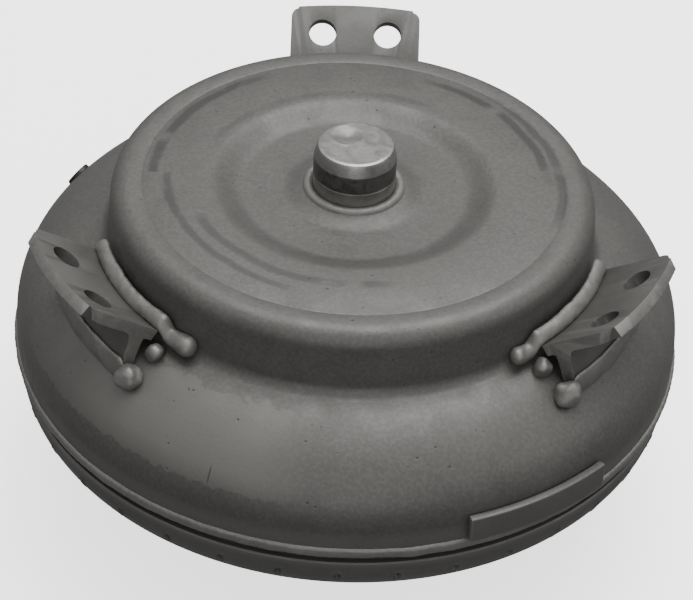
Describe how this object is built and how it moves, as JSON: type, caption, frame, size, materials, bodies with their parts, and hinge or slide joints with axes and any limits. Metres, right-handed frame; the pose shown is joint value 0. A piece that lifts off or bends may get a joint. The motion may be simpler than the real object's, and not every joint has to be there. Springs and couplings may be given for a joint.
{
  "type": "torque converter",
  "caption": "Lock-up torque converter: welded steel housing with pilot and lug brackets, bladed impeller, turbine and stator, one-way clutch, lock-up piston and spring damper.",
  "frame": {"origin": "on the axis of rotation, at the end face of the pump hub, which is what the part stands on", "axes": "+Z along the axis of rotation from the transmission side to the engine side; +Y through the middle of the rear lug bracket; +X completes a right-handed frame"},
  "size_m": [0.2566, 0.2566, 0.1591],
  "materials": {
    "blasted_steel": "media-blasted bare steel, matt, with stains and pits",
    "turned_steel": "turned and ground steel, satin",
    "weld_metal": "blasted weld bead, rippled",
    "pressed_steel": "pressed sheet steel, oily satin",
    "hardened_steel": "hardened and ground steel, bright",
    "spring_steel": "oil-tempered spring steel, dark",
    "black_steel": "black oxide, oily",
    "cast_aluminium": "die-cast, matt",
    "friction_paper": "paper-based friction lining, matt",
    "seal_plastic": "filled plastic seal ring"
  },
  "bodies": {
    "housing": {"front_cover": "blasted_steel", "pilot_hub": "turned_steel", "pilot_weld": "weld_metal", "drain_plug": "black_steel", "lug_bracket_rear": "blasted_steel", "lug_bracket_left": "blasted_steel", "lug_bracket_right": "blasted_steel", "lug_upper_weld_rear": "weld_metal", "lug_upper_weld_left": "weld_metal", "lug_upper_weld_right": "weld_metal", "lug_lower_weld_rear": "weld_metal", "lug_lower_weld_left": "weld_metal", "lug_lower_weld_right": "weld_metal", "seam_weld": "weld_metal", "balance_weight": "blasted_steel", "impeller_shell": "blasted_steel", "impeller_blade_ring": "pressed_steel", "pump_hub": "turned_steel", "pump_hub_weld": "weld_metal", "rear_bearing_race": "hardened_steel"},
    "turbine": {"turbine_shell": "pressed_steel", "turbine_blade_ring": "pressed_steel", "turbine_hub": "turned_steel", "turbine_hub_weld": "weld_metal", "piston_seal_ring": "seal_plastic", "front_bearing_race": "hardened_steel", "cover_bearing_race": "hardened_steel"},
    "stator": {"stator_wheel": "cast_aluminium", "clutch_outer_race": "hardened_steel", "clutch_roller_1": "hardened_steel", "clutch_roller_2": "hardened_steel", "clutch_roller_3": "hardened_steel", "clutch_roller_4": "hardened_steel", "clutch_roller_5": "hardened_steel", "clutch_roller_6": "hardened_steel", "clutch_cage": "spring_steel", "clutch_rear_cap": "cast_aluminium", "clutch_front_cap": "cast_aluminium"},
    "clutch_race": {"clutch_inner_race": "hardened_steel"},
    "damper_hub": {"damper_hub": "pressed_steel"},
    "piston": {"lockup_piston": "pressed_steel", "friction_lining": "friction_paper", "damper_rear_plate": "pressed_steel", "damper_front_plate": "pressed_steel", "damper_rivet_1": "hardened_steel", "damper_rivet_2": "hardened_steel", "damper_rivet_3": "hardened_steel", "damper_rivet_4": "hardened_steel", "damper_rivet_5": "hardened_steel", "damper_rivet_6": "hardened_steel", "damper_spring_1": "spring_steel", "damper_spring_2": "spring_steel", "damper_spring_3": "spring_steel", "damper_spring_4": "spring_steel", "damper_spring_5": "spring_steel", "damper_spring_6": "spring_steel"},
    "rear_cage": {"rear_bearing_cage": "hardened_steel"},
    "front_cage": {"front_bearing_cage": "hardened_steel"},
    "cover_cage": {"cover_bearing_cage": "hardened_steel"}
  },
  "joints": [
    {"name": "turbine_spin", "type": "hinge", "parent": "housing", "child": "turbine", "pos_m": [0, 0, 0.094], "axis": [0, 0, 1], "continuous": true},
    {"name": "stator_spin", "type": "hinge", "parent": "housing", "child": "stator", "pos_m": [0, 0, 0.077], "axis": [0, 0, 1], "continuous": true},
    {"name": "clutch_race_spin", "type": "hinge", "parent": "stator", "child": "clutch_race", "pos_m": [0, 0, 0.077], "axis": [0, 0, 1], "continuous": true},
    {"name": "lockup_slide", "type": "slide", "parent": "turbine", "child": "damper_hub", "axis": [0, 0, 1], "range_m": [0, 0.001]},
    {"name": "damper_twist", "type": "hinge", "parent": "damper_hub", "child": "piston", "pos_m": [0, 0, 0.119], "axis": [0, 0, 1], "range_deg": [-7, 7], "deforming": ["damper_spring_1", "damper_spring_2", "damper_spring_3", "damper_spring_4", "damper_spring_5", "damper_spring_6"]},
    {"name": "rear_cage_spin", "type": "hinge", "parent": "housing", "child": "rear_cage", "pos_m": [0, 0, 0.065], "axis": [0, 0, 1], "continuous": true},
    {"name": "front_cage_spin", "type": "hinge", "parent": "stator", "child": "front_cage", "pos_m": [0, 0, 0.088], "axis": [0, 0, 1], "continuous": true},
    {"name": "cover_cage_spin", "type": "hinge", "parent": "housing", "child": "cover_cage", "pos_m": [0, 0, 0.133], "axis": [0, 0, 1], "continuous": true}
  ],
  "couplings": [
    {"joint": "rear_cage_spin", "follows": "stator_spin", "ratio": 0.5}
  ]
}
